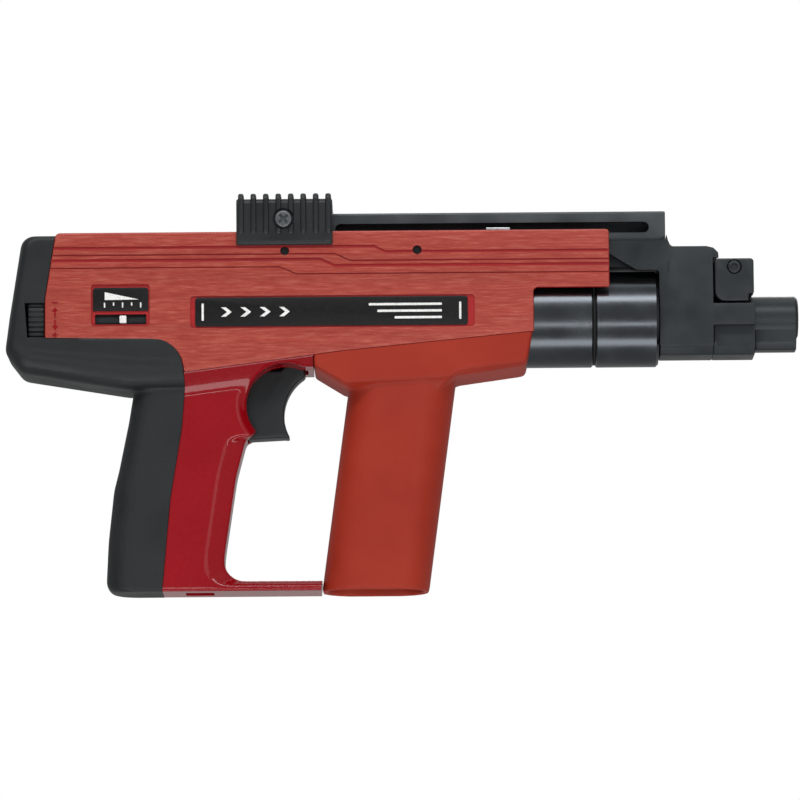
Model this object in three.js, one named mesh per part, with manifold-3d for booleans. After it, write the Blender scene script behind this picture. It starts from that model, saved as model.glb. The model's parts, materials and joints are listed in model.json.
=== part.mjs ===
import * as THREE from 'three';
import { mergeVertices } from 'three/addons/utils/BufferGeometryUtils.js';
import Module from 'manifold-3d';

// A powder-actuated nail gun, in millimetres.
// +X points to the muzzle, +Y to the tool's left side and +Z up. The origin is on the
// ground plane under the middle of the tool's length, where it stands on its two grips.

const wasm = await Module();
wasm.setup();

// ---- Driving dimensions ----

const GAP = 0.3;                 // between pieces that touch
const PLAY = 0.5;                // round pieces that slide or turn
const OUTSIDE = 30;              // farther out than either side of the tool
const LENGTH = 370;
const REAR = -LENGTH / 2;
const MUZZLE = LENGTH / 2;
const AXIS_Z = 127.6;            // height of the barrel's axis

const CONTACT_TRAVEL = 10;       // how far the nose is pressed in before the tool can fire

const HOUSING = { rear: -166, front: 96.5, step: 61.2, hood: 139.8, top: 166.9, half: 25, wall: 2.8 };
const HOUSING_INSIDE = HOUSING.half - HOUSING.wall;
const CROSS_PIN = { xs: [-54.4, 7.2], z: 157.7, radius: 2.1 };

const GRIP_HALF = 16.5;          // half the width of the rear grip's overmould
const FRAME_HALF = 15;           // half the width of the red handle frame
const FRAME_END = -41.5;         // where the handle frame meets the front grip's saddle
const LEDGE = 3;                 // thickness of the ledges that close the housing from below

const FRONT_GRIP = { middle: -13.3, halfLength: 24.9, half: 19, lean: 0.136, wall: 3, top: 97 };

const STRIP = { rear: -100, front: -90, half: 5, wall: 1.7, mouth: 1.6 };
const COLLAR_RADIUS = 22.4;
const COLLAR = { rear: 49, groove: 88.9, front: 119.5 };
const COLLAR_ROOM = COLLAR.rear - CONTACT_TRAVEL - 1;   // rear end of the bore that the collars slide in
const BARREL = { rear: -56.7, front: 119.3, radius: 15, bore: 11 };
const CHAMBER = { rear: -74, radius: 9, bore: 3.5 };

const RAIL = { rear: -74.8, front: 123.2, half: 12, wall: 2, bottom: 163.3, top: 177.1 };
const RAIL_SLOT = { rear: -31, front: 115.6, bottom: 167, top: 172.1 };
const RAIL_GUIDE = { rear: -66, front: 57, half: 9, bottom: 152.4, top: 161 };
const RAIL_LUG = { rear: 39.5, front: 50.7, half: 9.6, ear: 11.8, top: 170 };   // runs in the rail's slot
const KNOB = { rear: -76.8, front: -32.1, half: 27.6, bottom: 160, top: 182.1 };
const RIB = { first: -74.6, pitch: 5.8, width: 2.9, height: 2.5, count: 8 };
const KNOB_SCREW = { x: -54.9, z: 172.4, radius: 4 };

const NOSE = { rear: 119.9, plates: 145, front: 164.4, half: 15.2, bottom: 109.3, side: 112.4, top: 153 };
const PLATE = { inner: 15.5, outer: 18 };
const CHEEK = { front: 164.4, bottom: 122.5, top: 132.6 };   // where the plates run on under the latch
const LATCH = { rear: 145.8, front: 164, half: 17.7, bottom: 133.6, top: 153.7, tongue: 5 };
const LATCH_PIN = { x: 155, z: 149.7, radius: 3 };
const GUIDE = { rear: 126, radius: 10.2, bore: 4.2, keelHalf: 8, keelDepth: 15.6 };

const TRIGGER = { half: 7, pivotX: -49, pivotZ: 108.2, pin: 2, boss: 3.4 };
const SEAR = { pivotX: -118, pivotZ: 104.2, pin: 1.2 };
const PAWL = { rear: -97.5, front: -92.5, y: 10.2, pivotZ: 120, pin: 1.1 };
const WHEEL = { rear: -173.6, front: -166.5, radius: 23.5, hub: 16.4, bore: 14.2, notches: 48 };
const SLEEVE = { rear: -155, front: -113, outer: 20, inner: 17 };
const STRIKER = { rear: -165, outer: 13, inner: 10, back: 3 };
const SEAR_SLOT = { half: 3.8, front: -131 };   // lets the sear's nose through the sleeve

// Windows and plates on the right side of the housing. Each plate lies in its own recess.
const POINTER_SLOT = { rear: -142.7, front: -118.8, bottom: 123.8, top: 128.6 };
const SCALE_RECESS = { rear: -144.5, front: -117.2, bottom: 123, top: 142.5, depth: 1 };
const SCALE_PLATE = { rear: -143.6, front: -117.9, bottom: 130, top: 141, thick: 0.6 };
const LABEL_PLATE = { rear: -96.1, front: 30.5, bottom: 122.4, top: 135.9, thick: 0.5 };
const LABEL_RECESS = { rear: -98.3, front: 33.6, bottom: 121.7, top: 136.6, depth: 0.8 };
const WHEEL_WINDOW = { bottom: 118, top: 134.2 };

// The line along which the housing's side walls end, as seen from the side.
const PARTING = [[-101.4, 101.2], [-30, 110.4], [HOUSING.step, 119.2]];

// ---- Shapes ----

function outline(points) {
  const shape = new THREE.Shape();
  shape.moveTo(...points[0]);
  for (const point of points.slice(1)) shape.lineTo(...point);
  return shape;
}

function roundedRect(x0, y0, x1, y1, radius) {
  const shape = new THREE.Shape();
  shape.moveTo(x0 + radius, y0);
  shape.absarc(x1 - radius, y0 + radius, radius, -Math.PI / 2, 0);
  shape.absarc(x1 - radius, y1 - radius, radius, 0, Math.PI / 2);
  shape.absarc(x0 + radius, y1 - radius, radius, Math.PI / 2, Math.PI);
  shape.absarc(x0 + radius, y0 + radius, radius, Math.PI, 1.5 * Math.PI);
  return shape;
}

function signedVolume(positions, triangles) {
  const corners = [new THREE.Vector3(), new THREE.Vector3(), new THREE.Vector3()];
  let total = 0;
  for (let i = 0; i < triangles.length; i += 3) {
    corners.forEach((corner, k) => corner.fromArray(positions, 3 * triangles[i + k]));
    total += corners[0].dot(corners[1].cross(corners[2]));
  }
  return total;
}

// A closed geometry as a manifold solid with its faces pointing out.
function solid(geometry) {
  geometry.deleteAttribute('normal');
  geometry.deleteAttribute('uv');
  const merged = mergeVertices(geometry);
  const positions = new Float32Array(merged.attributes.position.array);
  const index = merged.index.array;
  const triangles = [];
  for (let i = 0; i < index.length; i += 3) {
    const [a, b, c] = [index[i], index[i + 1], index[i + 2]];
    if (a !== b && b !== c && c !== a) triangles.push(a, b, c);
  }
  if (signedVolume(positions, triangles) < 0) triangles.reverse();
  const mesh = new wasm.Mesh({
    numProp: 3,
    vertProperties: positions,
    triVerts: new Uint32Array(triangles),
  });
  return new wasm.Manifold(mesh);
}

// A shape in (x, z), stretched across the tool from y0 to y1.
function across(shape, y0, y1, curveSegments = 6) {
  const geometry = new THREE.ExtrudeGeometry(shape, { depth: y1 - y0, bevelEnabled: false, curveSegments });
  geometry.rotateX(Math.PI / 2);
  geometry.translate(0, y1, 0);
  return solid(geometry);
}

// A shape in (y, z), stretched along the tool from x0 to x1.
function along(shape, x0, x1, curveSegments = 6) {
  const geometry = new THREE.ExtrudeGeometry(shape, { depth: x1 - x0, bevelEnabled: false, curveSegments });
  const turn = new THREE.Matrix4().makeBasis(
    new THREE.Vector3(0, 1, 0), new THREE.Vector3(0, 0, 1), new THREE.Vector3(1, 0, 0));
  geometry.applyMatrix4(turn);
  geometry.translate(x0, 0, 0);
  return solid(geometry);
}

// A shape in (x, y), stretched upwards from z0 to z1 while it leans forwards.
function upwards(shape, z0, z1, lean = 0, curveSegments = 8) {
  const geometry = new THREE.ExtrudeGeometry(shape, { depth: z1 - z0, bevelEnabled: false, curveSegments });
  geometry.translate(0, 0, z0);
  geometry.applyMatrix4(new THREE.Matrix4().set(1, 0, lean, 0, 0, 1, 0, 0, 0, 0, 1, 0, 0, 0, 0, 1));
  return solid(geometry);
}

function box(x0, x1, y0, y1, z0, z1) {
  const geometry = new THREE.BoxGeometry(x1 - x0, y1 - y0, z1 - z0);
  geometry.translate((x0 + x1) / 2, (y0 + y1) / 2, (z0 + z1) / 2);
  return solid(geometry);
}

// A box that fills a rectangle on the tool's side, from y0 to y1.
function onRightSide({ rear, front, bottom, top }, y0, y1) {
  return box(rear, front, y0, y1, bottom, top);
}

// A plate that lies in a recess, with its back a gap above the recess's floor.
function plateIn(recess, plate) {
  const back = recess.depth - HOUSING.half - 0.2;
  return onRightSide(plate, back - plate.thick, back);
}

// A round bar along X at a height z.
function bar(x0, x1, radius, z = AXIS_Z, y = 0, segments = 32) {
  const geometry = new THREE.CylinderGeometry(radius, radius, x1 - x0, segments);
  geometry.rotateZ(-Math.PI / 2);
  geometry.translate((x0 + x1) / 2, y, z);
  return solid(geometry);
}

// A round pin along Y.
function pin(x, z, radius, y0, y1, segments = 16) {
  const geometry = new THREE.CylinderGeometry(radius, radius, y1 - y0, segments);
  geometry.translate(x, (y0 + y1) / 2, z);
  return solid(geometry);
}

// A turned piece on the barrel's axis, from [x, radius] points that start and end on it.
function turned(profile, segments = 32) {
  const geometry = new THREE.LatheGeometry(profile.map(([x, r]) => new THREE.Vector2(r, x)), segments);
  geometry.rotateZ(-Math.PI / 2);
  geometry.translate(0, 0, AXIS_Z);
  return solid(geometry);
}

// A coil spring on an axis parallel to X.
function coil(x0, x1, radius, wire, turns, z = AXIS_Z, y = 0) {
  const stepsPerTurn = 12;
  const steps = turns * stepsPerTurn;
  const path = new THREE.Curve();
  path.getPoint = (t) => {
    const angle = 2 * Math.PI * turns * t;
    const x = x0 + wire + (x1 - x0 - 2 * wire) * t;
    return new THREE.Vector3(x, y + radius * Math.cos(angle), z + radius * Math.sin(angle));
  };
  const section = new THREE.Shape().absarc(0, 0, wire, 0, 2 * Math.PI);
  return solid(new THREE.ExtrudeGeometry(section, { steps, curveSegments: 5, extrudePath: path }));
}

// ---- Materials ----

const finish = (color, roughness, metalness) =>
  () => new THREE.MeshStandardMaterial({ color, roughness, metalness });
const redPaint = finish(0xb02a22, 0.45, 0.4);
const redGloss = finish(0x96141c, 0.25, 0.1);
const redGrip = finish(0x9e2e22, 0.6, 0);
const blackPlastic = finish(0x2c2e30, 0.55, 0);
const blackSteel = finish(0x202226, 0.4, 0.8);
const brightSteel = finish(0x9a9da0, 0.35, 0.9);
const blackLabel = finish(0x101012, 0.4, 0);
const whiteMark = finish(0xf0f0ee, 0.5, 0);
const rubber = finish(0x1c1c1c, 0.8, 0);

const tool = new THREE.Group();

function add(name, manifold, makeMaterial) {
  const { numProp, vertProperties, triVerts } = manifold.getMesh();
  const geometry = new THREE.BufferGeometry();
  geometry.setAttribute('position', new THREE.BufferAttribute(new Float32Array(vertProperties), numProp));
  geometry.setIndex(new THREE.BufferAttribute(new Uint32Array(triVerts), 1));
  geometry.computeVertexNormals();
  const mesh = new THREE.Mesh(geometry, makeMaterial());
  mesh.name = name;
  tool.add(mesh);
}

// ---- Casing ----

function mainHousing() {
  const side = outline([
    [HOUSING.rear, 117.6], [HOUSING.rear, 134], [-165, 139], [-161.3, 164.4], [-159, HOUSING.top],
    [HOUSING.front - 1, HOUSING.top], [HOUSING.front, HOUSING.top - 1], [HOUSING.front, HOUSING.hood],
    [HOUSING.step + 2, HOUSING.hood], [HOUSING.step, HOUSING.hood - 2],
    ...PARTING.slice().reverse(),
    [-104, 107.2], [-109, 112.5], [-116, 116],
  ]);
  const ceiling = HOUSING.top - 3.4;
  const cavity = box(-180, HOUSING.front + 10, -HOUSING_INSIDE, HOUSING_INSIDE, 80, ceiling);
  const collarBore = bar(COLLAR_ROOM, HOUSING.step + 5, COLLAR_RADIUS + PLAY);
  const railSlotRear = STRIP.front + STRIP.wall;
  const railSlot = box(railSlotRear, HOUSING.front + 10, -RAIL.half - 1.4, RAIL.half + 1.4, 150, 180);
  const stripExit = box(STRIP.rear, STRIP.front, -STRIP.half, STRIP.half, 150, 180);
  const pinHoles = CROSS_PIN.xs.map((x) => pin(x, CROSS_PIN.z, CROSS_PIN.radius, -OUTSIDE, OUTSIDE));
  const pointerSlot = onRightSide(POINTER_SLOT, -OUTSIDE, -15);
  const scaleRecess = onRightSide(SCALE_RECESS, -OUTSIDE, SCALE_RECESS.depth - HOUSING.half);
  const labelRecess = onRightSide(LABEL_RECESS, -OUTSIDE, LABEL_RECESS.depth - HOUSING.half);
  return [cavity, collarBore, railSlot, stripExit, ...pinHoles, pointerSlot, scaleRecess, labelRecess]
    .reduce((left, cut) => left.subtract(cut), across(side, -HOUSING.half, HOUSING.half));
}

function rearCoverGrip() {
  const side = new THREE.Shape();
  side.moveTo(-112.9, 0);
  side.lineTo(-124, 0);
  side.quadraticCurveTo(-137.6, 0.3, -138.2, 8);
  side.splineThru([[-137.6, 19.4], [-134.9, 47], [-132.7, 55], [-128.3, 77], [-126, 88]]
    .map(([x, z]) => new THREE.Vector2(x, z)));
  side.quadraticCurveTo(-125.2, 93.6, -130.3, 94.4);
  side.lineTo(-101.9, 94.4);
  side.lineTo(-102.9 - GAP, 76.2);
  side.lineTo(-108.4 - GAP, 42.9);
  return across(side, -GRIP_HALF, GRIP_HALF, 5);
}

function rearCoverBelly() {
  const side = new THREE.Shape();
  side.moveTo(-101.7, 93);
  side.lineTo(-101.9, 98);
  side.lineTo(-104.4, 107);
  side.lineTo(-109.3, 112.2);
  side.lineTo(-116.2, 115.7);
  side.lineTo(HOUSING.rear - GAP, 117.3);
  side.lineTo(HOUSING.rear - GAP, 134);
  side.lineTo(-165.3, 139);
  side.lineTo(-161.2, 166.5);
  side.lineTo(-172, 166.5);
  side.quadraticCurveTo(-176.4, 166.3, -177.2, 162);
  side.lineTo(-183, 127.6);
  side.lineTo(REAR, 114);
  side.quadraticCurveTo(REAR, 110.3, -178.5, 104);
  side.lineTo(-175.7, 102);
  side.lineTo(-130.3, 94.4);
  side.lineTo(-126, 91);
  const half = HOUSING.half - GAP;
  return across(side, -half, half, 4);
}

function rearCover() {
  const wheelRoom = bar(WHEEL.rear - 0.8, HOUSING.rear + 2, WHEEL.radius + 0.6);
  const windows = box(-175, HOUSING.rear - GAP, -OUTSIDE, OUTSIDE, WHEEL_WINDOW.bottom, WHEEL_WINDOW.top);
  const hubRoom = bar(-170, -150, SLEEVE.outer + PLAY);
  const searRoom = across(outline([[-163, 130], [-163, 102.8], [-146, 99.4], [-90, 99.4], [-90, 130]]),
    -19, 19);
  return [wheelRoom, windows, hubRoom, searRoom]
    .reduce((left, cut) => left.subtract(cut), rearCoverGrip().add(rearCoverBelly()));
}

// ---- Handles ----

function partingLedge(x0, x1, half) {
  const z = (x) => {
    const [rear, middle, front] = PARTING;
    const [a, b] = x < middle[0] ? [rear, middle] : [middle, front];
    return a[1] + (x - a[0]) * (b[1] - a[1]) / (b[0] - a[0]) - GAP;
  };
  const bend = Math.min(Math.max(PARTING[1][0], x0 + 1), x1 - 1);
  return across(outline([
    [x0, z(x0) - LEDGE], [bend, z(bend) - LEDGE], [x1, z(x1) - LEDGE],
    [x1, z(x1)], [bend, z(bend)], [x0, z(x0)],
  ]), -half, half);
}

function handleFrame() {
  const side = new THREE.Shape();
  side.moveTo(-112.5, 0);
  side.lineTo(-38.7, 0);
  side.lineTo(-38, 5);
  side.lineTo(-72, 5);
  side.quadraticCurveTo(-84.5, 5.6, -83.1, 17.8);
  side.lineTo(-77.7, 53.8);
  side.lineTo(-73.3, 70.5);
  side.absarc(-54.5, 87, 18.3, 1.2 * Math.PI, Math.PI / 2 - 0.45, true);
  side.lineTo(FRAME_END, 103.6);
  side.lineTo(FRAME_END, 107.9);
  side.lineTo(-101.2, 99.8);
  side.lineTo(-101.6, 94);
  side.lineTo(-102.9, 76.2);
  side.lineTo(-108.4, 42.9);
  const triggerSlot = box(-85, -44, -TRIGGER.half - PLAY, TRIGGER.half + PLAY, 71, 130);
  const pinHole = pin(TRIGGER.pivotX, TRIGGER.pivotZ, TRIGGER.pin + 0.15, -OUTSIDE, OUTSIDE);
  const channel = box(STRIP.rear, STRIP.front, -STRIP.half, STRIP.half, -10, 130);
  const mouth = box(STRIP.rear - STRIP.mouth, STRIP.front + STRIP.mouth,
    -STRIP.half - STRIP.mouth, STRIP.half + STRIP.mouth, -10, 4);
  const lugs = box(-56, -43, -12, 12, 105.4, 112.3);
  return across(side, -FRAME_HALF, FRAME_HALF, 8)
    .add(partingLedge(-101, FRAME_END, HOUSING.half - GAP)).add(lugs)
    .subtract(triggerSlot).subtract(pinHole).subtract(channel).subtract(mouth);
}

function gripSection(inset) {
  const { middle, halfLength, half } = FRONT_GRIP;
  const [x, y] = [halfLength - inset, half - inset];
  return roundedRect(middle - x, -y, middle + x, y, y - 2.5);
}

function frontGrip() {
  const saddle = across(outline([
    [FRAME_END + GAP, 103.6], [-26, 94.3], [24.5, 95.9], [27.2, 101], [33, 102.3], [57.5, 104.7],
    [58.5, 108], [60.9, 118.8], [-30, 110.1], [FRAME_END + GAP, 108.6],
  ]), -HOUSING.half + GAP, HOUSING.half - GAP);
  const tube = upwards(gripSection(0), 0, 105, FRONT_GRIP.lean);
  const hollow = upwards(gripSection(FRONT_GRIP.wall), -5, FRONT_GRIP.top, FRONT_GRIP.lean);
  const barrelRoom = bar(-40, 50, BARREL.radius + 1.5);
  const collarRoom = bar(COLLAR_ROOM, 70, COLLAR_RADIUS + PLAY);
  return tube.add(saddle).subtract(hollow).subtract(barrelRoom).subtract(collarRoom);
}

// ---- Firing mechanism, in the rear of the housing ----

function stripGuide() {
  const { rear, front, half, wall } = STRIP;
  const outer = box(rear - wall, front + wall, -half - wall, half + wall, 103.8, 163.2);
  const channel = box(rear, front, -half, half, 90, 180);
  const firingHole = bar(rear - 5, front + 5, 4, AXIS_Z, 0, 16);
  const pawlWindow = box(rear + 2, front - 2, half - 1, half + 5, 133, 141);
  const ears = [[rear - wall, PAWL.rear - GAP], [PAWL.front + GAP, front + wall]]
    .map(([x0, x1]) => box(x0, x1, half, PAWL.y + 2, PAWL.pivotZ - 2.5, PAWL.pivotZ + 2.5));
  const pinHole = bar(rear - 5, front + 5, PAWL.pin + 0.15, PAWL.pivotZ, PAWL.y, 12);
  return [channel, firingHole, pawlWindow, pinHole]
    .reduce((left, cut) => left.subtract(cut), ears.reduce((left, ear) => left.add(ear), outer));
}

function strikerTube() {
  const front = STRIP.rear - STRIP.wall - 10 - GAP;
  const inside = STRIKER.rear + STRIKER.back;
  const tube = turned([[STRIKER.rear, 0], [STRIKER.rear, STRIKER.outer], [front, STRIKER.outer],
    [front, STRIKER.inner], [inside, STRIKER.inner], [inside, 0]]);
  return tube.subtract(box(-148, -136, -SEAR_SLOT.half, SEAR_SLOT.half, 110, 120));
}

function breechBlock() {
  const front = STRIP.rear - STRIP.wall - GAP;
  return turned([[front - 9.7, 2.6], [front - 9.7, 16.5], [front, 16.5], [front, 2.6], [front - 9.7, 2.6]]);
}

function firingPin() {
  return turned([[-140.3, 0], [-140.3, 9.5], [-131, 9.5], [-128, 4], [-118, 4], [-117, 2.1],
    [-102.6, 2.1], [-102, 0]], 24);
}

function sear() {
  const arms = [-1, 1].map((side) => {
    const [near, far] = [8.6, 11].map((y) => side * y);
    return box(-118, -75.8, Math.min(near, far), Math.max(near, far), 104.4, 106.8);
  });
  const hub = box(-121, -115, -11, 11, 101.7, 106.8);
  const toe = box(-80, -75.8, -11, 11, 104.4, 106.8);
  const tail = box(-144, -118, -2.8, 2.8, 104.4, 106.6);
  const nose = box(-144, -140.7, -2.8, 2.8, 105, 117.2);
  return [toe, tail, nose, ...arms].reduce((left, next) => left.add(next), hub)
    .subtract(pin(SEAR.pivotX, SEAR.pivotZ, SEAR.pin + 0.25, -OUTSIDE, OUTSIDE));
}

function trigger() {
  const side = new THREE.Shape();
  side.moveTo(-53.9, 71.6);
  side.absarc(-33.8, 83, 21.6, Math.PI + 0.52, Math.PI / 2 + 0.56, true);
  side.absarc(TRIGGER.pivotX, TRIGGER.pivotZ, TRIGGER.boss, 0, 0.9 * Math.PI);
  side.lineTo(-57, 103.4);
  side.lineTo(-80, 103.4);
  side.lineTo(-80, 97);
  side.lineTo(-73.4, 74);
  side.lineTo(-70.8, 71.6);
  return across(side, -TRIGGER.half, TRIGGER.half, 8)
    .subtract(pin(TRIGGER.pivotX, TRIGGER.pivotZ, TRIGGER.pin + 0.25, -OUTSIDE, OUTSIDE));
}

function triggerSpring() {
  return across(outline([[-84.6, 92], [-84.6, 79], [-84, 79], [-84, 84], [-79.6, 88.5], [-80, 89], [-84, 85],
    [-84, 92]]), -3, 3);
}

function feedPawl() {
  const lever = box(PAWL.rear, PAWL.front, PAWL.y - 1.8, PAWL.y + 1.8, PAWL.pivotZ - 4, 141);
  const tooth = box(PAWL.rear, PAWL.front, STRIP.half + 0.6, PAWL.y - 1, 135, 139.5);
  return lever.add(tooth).subtract(bar(-105, -85, PAWL.pin + 0.25, PAWL.pivotZ, PAWL.y, 12));
}

// ---- Power regulator ----

function regulatorWheel() {
  const hubEnd = -146;
  const { rear, front, radius, hub, bore } = WHEEL;
  const chamfer = 0.6;
  const wheel = turned([[rear, bore], [rear, radius - chamfer], [rear + chamfer, radius],
    [front - chamfer, radius], [front, radius - chamfer], [front, hub], [hubEnd, hub], [hubEnd, bore],
    [rear, bore]], WHEEL.notches);
  const back = bar(rear, rear + 4, bore + 0.8, AXIS_Z, 0, 32);
  return wheel.add(back);
}

function regulatorSleeve() {
  const { rear, front, outer, inner } = SLEEVE;
  const tube = turned([[rear, inner], [rear, outer], [front, outer], [front, inner], [rear, inner]]);
  return tube.subtract(box(rear - 1, SEAR_SLOT.front, -SEAR_SLOT.half, SEAR_SLOT.half, 100, 115));
}

// ---- Barrel group, which slides forwards to reset the piston ----

function barrelTube() {
  const { rear, front, radius, bore } = BARREL;
  return turned([[CHAMBER.rear, CHAMBER.bore], [CHAMBER.rear, CHAMBER.radius], [rear, CHAMBER.radius],
    [rear, radius], [front, radius], [front, bore], [rear + 2, bore], [rear + 2, CHAMBER.bore],
    [CHAMBER.rear, CHAMBER.bore]]);
}

function collar(x0, x1, chamfer) {
  const inner = BARREL.radius + GAP;
  const relief = COLLAR_RADIUS - 4;
  return turned([[x0, inner], [x0, COLLAR_RADIUS], [x1 - chamfer, COLLAR_RADIUS],
    [x1, COLLAR_RADIUS - chamfer], [x1, inner], [x1 - 4, inner], [x1 - 4, relief], [x0 + 4, relief],
    [x0 + 4, inner], [x0, inner]], 40);
}

function piston() {
  return turned([[-54.2, 0], [-54.2, 8], [-52, BARREL.bore - 0.4], [-46, BARREL.bore - 0.4], [-46, 9.4],
    [-43, 9.4], [-43, BARREL.bore - 0.4], [-32, BARREL.bore - 0.4], [-28, 3.7], [57, 3.7], [58, 0]], 24);
}

function ring(x0, x1, inner, outer, segments = 32) {
  return turned([[x0, inner], [x0, outer], [x1, outer], [x1, inner], [x0, inner]], segments);
}

function slideRail() {
  const { rear, front, half, wall, bottom, top } = RAIL;
  const outer = along(roundedRect(-half, bottom, half, top, 1), rear, front, 2);
  const channel = box(rear - 5, front - 3, wall - half, half - wall, bottom - 5, top - wall);
  const slotMiddle = (RAIL_SLOT.bottom + RAIL_SLOT.top) / 2;
  const slotRadius = (RAIL_SLOT.top - RAIL_SLOT.bottom) / 2;
  const slot = across(
    roundedRect(RAIL_SLOT.rear, slotMiddle - slotRadius, RAIL_SLOT.front, slotMiddle + slotRadius,
      slotRadius - 0.01), -OUTSIDE, 0, 4);
  const screwHole = pin(KNOB_SCREW.x, KNOB_SCREW.z, 2.3, -OUTSIDE, OUTSIDE);
  return outer.subtract(channel).subtract(slot).subtract(screwHole);
}

function railGuide() {
  const { rear, front, half, bottom, top } = RAIL_GUIDE;
  const foot = box(rear, front, -half, half, bottom, top);
  const lug = box(RAIL_LUG.rear, RAIL_LUG.front, -RAIL_LUG.half, RAIL_LUG.half, bottom, RAIL_LUG.top);
  const ear = box(RAIL_LUG.rear, RAIL_LUG.front, -RAIL_LUG.ear, 0, RAIL_SLOT.bottom + GAP, RAIL_LUG.top);
  const pinHoles = CROSS_PIN.xs.map((x) => pin(x, CROSS_PIN.z, CROSS_PIN.radius + 0.1, -OUTSIDE, OUTSIDE));
  return pinHoles.reduce((left, hole) => left.subtract(hole), foot.add(lug).add(ear));
}

function cockingKnob() {
  const { rear, front, half, bottom, top } = KNOB;
  const core = along(roundedRect(-half, bottom, half, top, 2.4), rear, front, 3);
  const ribs = Array.from({ length: RIB.count }, (_, i) => {
    const x = RIB.first + RIB.pitch * i;
    return along(roundedRect(-half - 0.6, 164.6, half + 0.6, top + RIB.height, 2.8),
      x - RIB.width / 2, x + RIB.width / 2, 3);
  });
  const straddle = box(rear - 5, front + 5, -HOUSING.half - 0.5, HOUSING.half + 0.5, 150, HOUSING.top + 0.4);
  const railRoom = box(RAIL.rear - GAP, front + 5, -RAIL.half - GAP, RAIL.half + GAP, 150, RAIL.top + GAP);
  const { x, z, radius } = KNOB_SCREW;
  const recesses = [-1, 1].map((side) => pin(x, z, radius + 0.8, Math.min(side * 25.6, side * 40),
    Math.max(side * 25.6, side * 40), 20));
  const shankHole = pin(x, z, 2.2, -40, 40, 12);
  return [straddle, railRoom, ...recesses, shankHole]
    .reduce((left, cut) => left.subtract(cut), ribs.reduce((left, rib) => left.add(rib), core));
}

function knobScrew(side) {
  const { x, z, radius } = KNOB_SCREW;
  const reach = (from, to) => [Math.min(side * from, side * to), Math.max(side * from, side * to)];
  const head = pin(x, z, radius, ...reach(25.9, 28), 20);
  const shank = pin(x, z, 1.9, ...reach(10.6, 26.5), 12);
  const recess = [0, 1].map((turn) => {
    const [dx, dz] = turn ? [2.2, 0.5] : [0.5, 2.2];
    return box(x - dx, x + dx, ...reach(26.8, 29), z - dz, z + dz);
  });
  return recess.reduce((left, cut) => left.subtract(cut), head.add(shank));
}

function noseBracket() {
  const side = outline([
    [84, 163], [84, 157.5], [97, 156], [109.5, 148.5], [NOSE.rear, 148.5], [NOSE.rear, NOSE.side],
    [NOSE.plates, NOSE.side], [NOSE.plates, CHEEK.bottom], [CHEEK.front, CHEEK.bottom],
    [CHEEK.front, CHEEK.top], [NOSE.plates, CHEEK.top], [NOSE.plates, 154.1], [147.7, 154.1],
    [147.3, 156.3], [145.4, 158.4], [142, 159.5], [125.4, 159.5], [124.2, 161.6],
    [RAIL.front + GAP, 165.2], [RAIL.front + GAP, 163],
  ]);
  const below = box(80, 170, -PLATE.inner, PLATE.inner, 100, 156);
  const core = box(84, NOSE.rear - GAP, -12, 12, AXIS_Z + COLLAR_RADIUS + 0.7, 158);
  return across(side, -PLATE.outer, PLATE.outer).subtract(below).add(core);
}

function noseBlock() {
  const { rear, plates, front, half, bottom, side, top } = NOSE;
  const body = along(outline([[-10, bottom], [10, bottom], [half, side + 2], [half, top], [-half, top],
    [-half, side + 2]]), rear + GAP, plates);
  const chin = along(outline([[-10, bottom], [10, bottom], [half, side + 2], [half, 132], [-half, 132],
    [-half, side + 2]]), plates - 1, front);
  const tongue = box(plates - 1, 158.8, -LATCH.tongue, LATCH.tongue, AXIS_Z + GUIDE.radius + 1, top);
  const pinHole = pin(LATCH_PIN.x, LATCH_PIN.z, LATCH_PIN.radius + 0.15, -OUTSIDE, OUTSIDE, 20);
  const chinStep = [-1, 1].map((hand) => box(plates + 1.5, front + 1,
    Math.min(hand * 13.6, hand * 20), Math.max(hand * 13.6, hand * 20), 100, 122.5));
  const bore = bar(GUIDE.rear - 0.5, front + 5, GUIDE.radius + GAP);
  const rodHole = bar(rear - 5, front, 4.6, AXIS_Z, 0, 16);
  return [bore, rodHole, pinHole, ...chinStep]
    .reduce((left, cut) => left.subtract(cut), body.add(chin).add(tongue));
}

function fastenerGuide() {
  const tube = turned([[GUIDE.rear, GUIDE.bore], [GUIDE.rear, GUIDE.radius], [MUZZLE - 1.4, GUIDE.radius],
    [MUZZLE, GUIDE.radius - 1.4], [MUZZLE, GUIDE.bore], [GUIDE.rear, GUIDE.bore]]);
  const keel = along(outline([
    [-GUIDE.keelHalf, AXIS_Z], [-GUIDE.keelHalf, AXIS_Z - GUIDE.keelDepth + 3.3],
    [-GUIDE.keelHalf + 3.3, AXIS_Z - GUIDE.keelDepth], [GUIDE.keelHalf - 3.3, AXIS_Z - GUIDE.keelDepth],
    [GUIDE.keelHalf, AXIS_Z - GUIDE.keelDepth + 3.3], [GUIDE.keelHalf, AXIS_Z],
  ]), NOSE.front + GAP, MUZZLE - 1.2);
  return tube.add(keel).subtract(bar(GUIDE.rear - 5, MUZZLE + 5, GUIDE.bore));
}

function latch() {
  const { rear, front, half, bottom, top } = LATCH;
  const body = across(outline([
    [rear, bottom + 6], [rear + 5, bottom], [front - 2.5, bottom], [front - 2.5, bottom + 3.6],
    [front, bottom + 3.6], [front, top - 1.5], [front - 1.5, top], [rear + 1, top], [rear, top - 1],
  ]), -half, half);
  const guideRoom = bar(rear - 10, front + 10, GUIDE.radius + 2.2);
  const tongueRoom = box(rear - 5, 161, -LATCH.tongue - GAP, LATCH.tongue + GAP, 120, 160);
  const pinHole = pin(LATCH_PIN.x, LATCH_PIN.z, LATCH_PIN.radius + 0.2, -OUTSIDE, OUTSIDE, 20);
  return body.subtract(guideRoom).subtract(tongueRoom).subtract(pinHole);
}

// ---- The whole tool ----

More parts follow.
